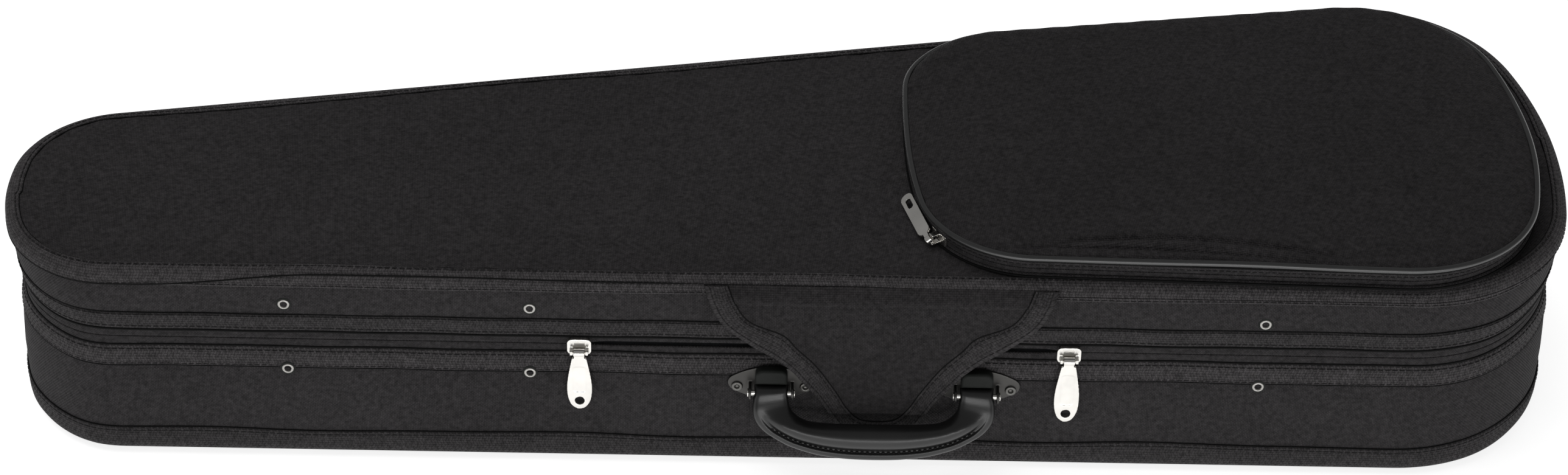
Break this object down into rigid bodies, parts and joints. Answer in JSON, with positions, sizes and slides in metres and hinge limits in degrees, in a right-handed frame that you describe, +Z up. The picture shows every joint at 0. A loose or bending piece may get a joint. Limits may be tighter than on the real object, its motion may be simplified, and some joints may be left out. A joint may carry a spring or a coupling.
{
  "type": "violin case",
  "caption": "Shaped cloth-covered violin case: hinged zipped lid with music pocket and closing flap, side carrying handle, plush interior with cradle, bow holders and accessory box",
  "frame": {"origin": "middle of the case's plan, on the flat bottom that it lies on", "axes": "+X runs along the length to the wide end, -Y to the carrying handle, +Z up"},
  "size_m": [0.79, 0.2606, 0.1322],
  "materials": {
    "black_weave": "fine plain weave of charcoal black synthetic cloth",
    "ribbed_band": "ribbed woven tape, slightly lighter than the cloth",
    "zip_cloth": "woven zipper tape with a nylon coil",
    "shell_foam": "rigid moulded foam, not visible when covered",
    "plush": "short soft plush lining",
    "nickel": "polished nickel plate with small scuffs",
    "dark_nickel": "dark grey plated steel, satin",
    "handle_black": "glossy black moulded handle with a stitched seam",
    "black_vinyl": "shiny black vinyl piping",
    "hook_loop": "black hook and loop fastener",
    "black_plastic": "black moulded plastic",
    "stiff_board": "cloth covered stiff board"
  },
  "bodies": {
    "base": {"base_foam_shell": "shell_foam", "base_bottom_panel": "black_weave", "base_side_cover": "black_weave", "base_edge_binding": "ribbed_band", "base_zip_band": "ribbed_band", "base_zip_tape": "zip_cloth", "hinge_strip_base": "black_weave", "base_lining": "plush", "lower_bout_insert": "plush", "upper_bout_insert": "plush", "neck_side_insert": "plush", "lower_suspension_pad": "plush", "upper_suspension_pad": "plush", "neck_cradle": "plush", "neck_strap_anchor": "hook_loop", "accessory_box": "stiff_board", "base_eyelets": "nickel", "base_eyelet_washers": "nickel", "handle_bracket_left": "dark_nickel", "handle_bracket_right": "dark_nickel", "bracket_rivets": "dark_nickel", "bracket_keepers": "black_plastic", "handle_pins": "nickel", "flap_loop_pad": "hook_loop"},
    "lid": {"lid_foam_shell": "shell_foam", "lid_top_panel": "black_weave", "lid_side_cover": "black_weave", "lid_edge_binding": "ribbed_band", "lid_zip_band": "ribbed_band", "lid_zip_tape": "zip_cloth", "hinge_strip_lid": "black_weave", "lid_lining": "plush", "lid_eyelets": "nickel", "lid_eyelet_washers": "nickel", "bow_holder_bases": "black_plastic", "bow_tip_sleeve": "plush", "pocket_base_strip": "black_weave", "pocket_zip_tape_lower": "zip_cloth"},
    "flap": {"flap_panel": "black_weave", "flap_trim": "ribbed_band", "flap_hook_pad": "hook_loop"},
    "handle": {"handle_grip": "handle_black", "handle_end_loops": "handle_black"},
    "zip_slider_left": {"zip_slider_left": "dark_nickel"},
    "zip_pull_left": {"zip_pull_left": "nickel"},
    "zip_slider_right": {"zip_slider_right": "dark_nickel"},
    "zip_pull_right": {"zip_pull_right": "nickel"},
    "pocket_top": {"pocket_top_panel": "black_weave", "pocket_piping": "black_vinyl", "pocket_upper_gusset": "black_weave", "pocket_zip_tape_upper": "zip_cloth"},
    "pocket_slider": {"pocket_slider": "dark_nickel"},
    "pocket_pull": {"pocket_pull": "nickel"},
    "bow_spinner_left": {"bow_spinner_left": "black_plastic"},
    "bow_spinner_right": {"bow_spinner_right": "black_plastic"},
    "accessory_lid": {"accessory_lid": "plush", "accessory_lid_tab": "hook_loop"},
    "neck_strap": {"neck_strap": "hook_loop"}
  },
  "joints": [
    {"name": "lid_hinge", "type": "hinge", "parent": "base", "child": "lid", "pos_m": [0.00004, 0.1011, 0.073], "axis": [-0.9957, -0.0929, 0], "range_deg": [0, 100]},
    {"name": "flap_hinge", "type": "hinge", "parent": "lid", "child": "flap", "pos_m": [0.03541, -0.10581, 0.11], "axis": [-0.9957, 0.0929, 0], "range_deg": [0, 2.4]},
    {"name": "handle_hinge", "type": "hinge", "parent": "base", "child": "handle", "pos_m": [0.03304, -0.1096, 0.05], "axis": [-0.9957, 0.0929, 0], "range_deg": [0, 105]},
    {"name": "zip_slide_left", "type": "slide", "parent": "base", "child": "zip_slider_left", "axis": [0.9957, -0.0929, 0], "range_m": [-0.205, 0.055]},
    {"name": "zip_pull_left_hinge", "type": "hinge", "parent": "zip_slider_left", "child": "zip_pull_left", "pos_m": [-0.11228, -0.09404, 0.0715], "axis": [-0.9957, 0.0929, 0], "range_deg": [0, 150]},
    {"name": "zip_slide_right", "type": "slide", "parent": "base", "child": "zip_slider_right", "axis": [0.9957, -0.0929, 0], "range_m": [-0.013, 0.145]},
    {"name": "zip_pull_right_hinge", "type": "hinge", "parent": "zip_slider_right", "child": "zip_pull_right", "pos_m": [0.12872, -0.11652, 0.0715], "axis": [-0.9957, 0.0929, 0], "range_deg": [0, 150]},
    {"name": "pocket_hinge", "type": "hinge", "parent": "lid", "child": "pocket_top", "pos_m": [0.22023, 0.10024, 0.1196], "axis": [-0.9979, -0.0651, 0], "range_deg": [0, 85]},
    {"name": "pocket_slide", "type": "hinge", "parent": "lid", "child": "pocket_slider", "pos_m": [0.11735, -0.04745, 0.1196], "axis": [0, 0, 1], "range_deg": [-8, 48]},
    {"name": "pocket_pull_hinge", "type": "hinge", "parent": "pocket_slider", "child": "pocket_pull", "pos_m": [0.06319, -0.07552, 0.1196], "axis": [0, 0, 1], "range_deg": [0, 100]},
    {"name": "bow_spinner_left_turn", "type": "hinge", "parent": "lid", "child": "bow_spinner_left", "pos_m": [0.255, -0.052, 0.0925], "axis": [0, 0, 1], "continuous": true},
    {"name": "bow_spinner_right_turn", "type": "hinge", "parent": "lid", "child": "bow_spinner_right", "pos_m": [0.255, 0.052, 0.0925], "axis": [0, 0, 1], "continuous": true},
    {"name": "accessory_lid_hinge", "type": "hinge", "parent": "base", "child": "accessory_lid", "pos_m": [-0.33, 0, 0.0518], "axis": [0, 1, 0], "range_deg": [0, 95]},
    {"name": "neck_strap_hinge", "type": "hinge", "parent": "base", "child": "neck_strap", "pos_m": [-0.07, 0.027, 0.0474], "axis": [-1, 0, 0], "range_deg": [0, 110]}
  ]
}
